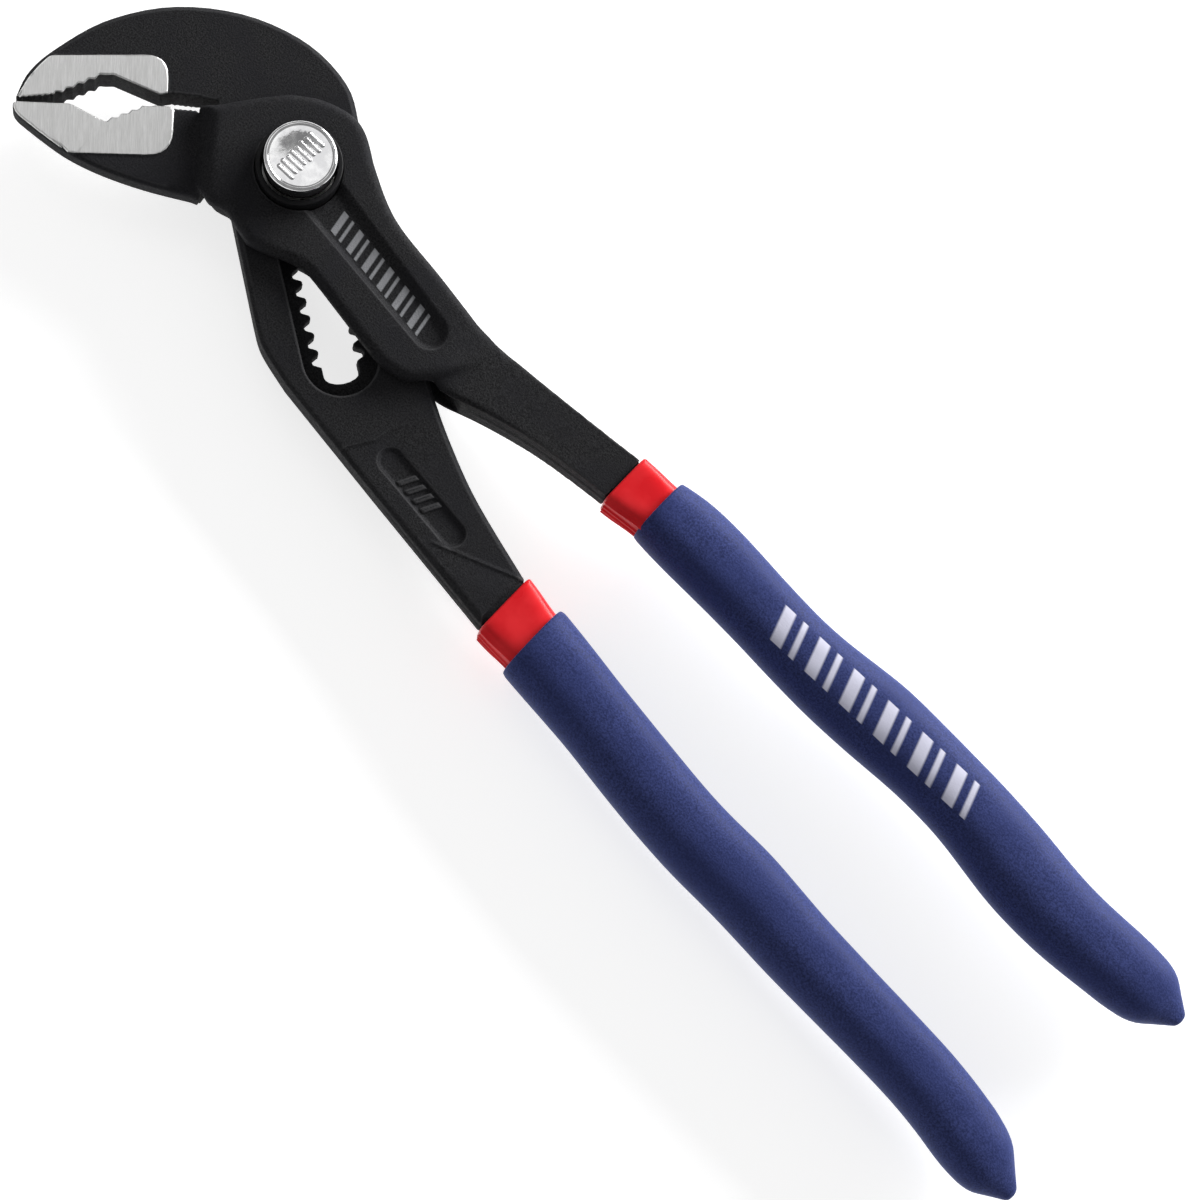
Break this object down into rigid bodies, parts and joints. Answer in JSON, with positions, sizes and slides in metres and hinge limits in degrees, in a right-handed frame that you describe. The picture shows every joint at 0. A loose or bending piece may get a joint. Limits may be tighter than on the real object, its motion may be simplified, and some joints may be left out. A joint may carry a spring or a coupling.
{
  "type": "tongue and groove pliers",
  "caption": "Push-button tongue and groove pliers: serrated hook and lower jaws, box joint, toothed adjusting slot, dipped grips over sleeves.",
  "frame": {"origin": "on the axis of the hinge bolt, in the plane of the flat end of its tail", "axes": "+X from the jaws towards the handle ends, +Z along the bolt axis from its tail to the push button, +Y across the tool towards the back of the hook jaw"},
  "size_m": [0.2512, 0.0669, 0.0222],
  "materials": {
    "black_steel": "satin",
    "bright_steel": "satin",
    "chrome_cap": "polished",
    "black_ring": "satin",
    "red_sleeve": "gloss",
    "blue_grip": "satin"
  },
  "bodies": {
    "box_lever": {"box_jaw_lever": "black_steel", "box_lever_sleeve": "red_sleeve", "box_lever_grip": "blue_grip", "button_guide_ring": "black_ring"},
    "bolt_carrier": {"spring_seat_washer": "bright_steel", "button_spring": "bright_steel"},
    "hook_lever": {"hook_jaw_lever": "black_steel", "hook_lever_sleeve": "red_sleeve", "hook_lever_grip": "blue_grip"},
    "push_bolt": {"hinge_bolt": "bright_steel", "push_button": "chrome_cap", "tail_washer": "bright_steel", "tail_circlip": "bright_steel"}
  },
  "joints": [
    {"name": "jaw_pivot", "type": "hinge", "parent": "box_lever", "child": "bolt_carrier", "pos_m": [0, 0, 0.009], "axis": [0, 0, -1], "range_deg": [0, 36]},
    {"name": "jaw_setting", "type": "slide", "parent": "bolt_carrier", "child": "hook_lever", "axis": [-0.829, 0.5592, 0], "range_m": [0, 0.0186]},
    {"name": "button_press", "type": "slide", "parent": "bolt_carrier", "child": "push_bolt", "axis": [0, 0, -1], "range_m": [0, 0.0033], "stiffness_N_per_m": 1000, "springref_m": -0.002, "deforming": ["button_spring"]}
  ]
}
